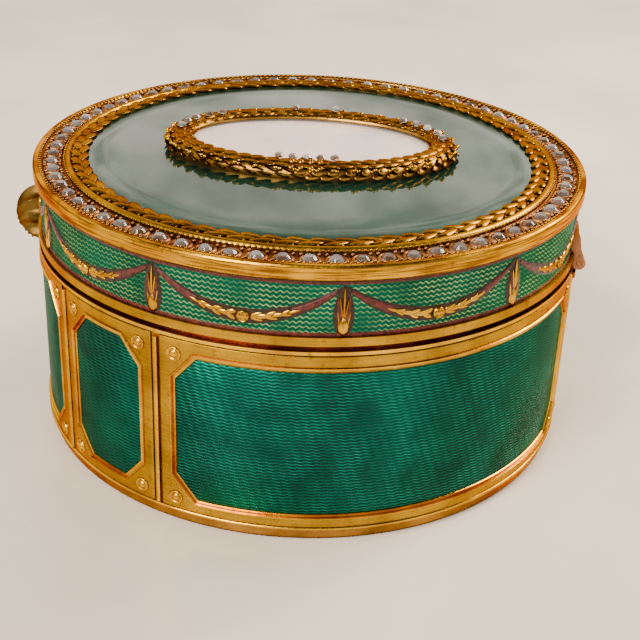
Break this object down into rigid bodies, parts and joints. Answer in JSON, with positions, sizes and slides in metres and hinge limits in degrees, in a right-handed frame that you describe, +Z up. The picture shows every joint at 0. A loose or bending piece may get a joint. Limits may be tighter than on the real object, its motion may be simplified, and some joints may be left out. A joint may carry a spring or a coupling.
{
  "type": "pill box",
  "caption": "Round hinged pill box with a gilt cage, green engine-turned enamel panels, garlanded lid, stone-set rim and an oval medallion on top.",
  "frame": {"origin": "centre of the base, on the surface the box stands on", "axes": "+Z up along the drum, -Y towards the thumbpiece, +Y towards the hinge, +X to the right seen from the thumbpiece"},
  "size_m": [0.0604, 0.0642, 0.0332],
  "materials": {
    "gilt_plain": "gilded, soft polish",
    "gilt_satin": "gilded, brushed along the band",
    "gilt_bright": "gilded, burnished",
    "gilt_chased": "gilded, chased, darkened in the hollows",
    "gilt_coloured": "gilded leaves with russet enamel ribbon",
    "gilt_rose": "rose gilt, matt",
    "steel_pin": "drawn wire",
    "enamel_teal": "translucent enamel over engine turning, polished",
    "enamel_green": "translucent enamel over engine turning, polished",
    "plaque_pale": "painted, satin",
    "crystal": "polished",
    "paste_stone": "brilliant cut, polished"
  },
  "bodies": {
    "box_body": {"base_plate": "gilt_plain", "foot_ring": "gilt_plain", "foot_bead": "gilt_bright", "body_wall": "gilt_plain", "cage_frame": "gilt_satin", "body_rim_ring": "gilt_bright", "inner_collar": "gilt_plain", "enamel_panel_front": "enamel_teal", "enamel_panel_right": "enamel_teal", "enamel_panel_left": "enamel_teal", "enamel_strip_right": "enamel_teal", "enamel_strip_left": "enamel_teal", "enamel_strip_back": "enamel_teal", "panel_mouldings": "gilt_bright", "pilaster_beads": "gilt_bright", "panel_bosses": "gilt_bright", "body_hinge_leaf": "gilt_plain", "hinge_pin": "steel_pin"},
    "lid": {"lid_shell": "gilt_plain", "lid_inner_plate": "gilt_plain", "lid_lower_band": "gilt_satin", "lid_upper_band": "gilt_satin", "lid_enamel_band": "enamel_green", "garland_swags": "gilt_coloured", "garland_drops": "gilt_coloured", "stone_channel": "gilt_rose", "rim_stones": "paste_stone", "stone_grains": "gilt_bright", "channel_fillet": "gilt_bright", "laurel_ring": "gilt_chased", "lid_enamel_plaque": "enamel_teal", "medallion_bezel": "gilt_plain", "medallion_plaque": "plaque_pale", "medallion_glass": "crystal", "medallion_wreath": "gilt_chased", "medallion_stones": "paste_stone", "medallion_pins": "gilt_plain", "lid_hinge_leaf": "gilt_plain", "thumbpiece": "gilt_chased"}
  },
  "joints": [
    {"name": "lid_hinge", "type": "hinge", "parent": "box_body", "child": "lid", "pos_m": [0, 0.02985, 0.022], "axis": [-1, 0, 0], "range_deg": [0, 95]}
  ]
}
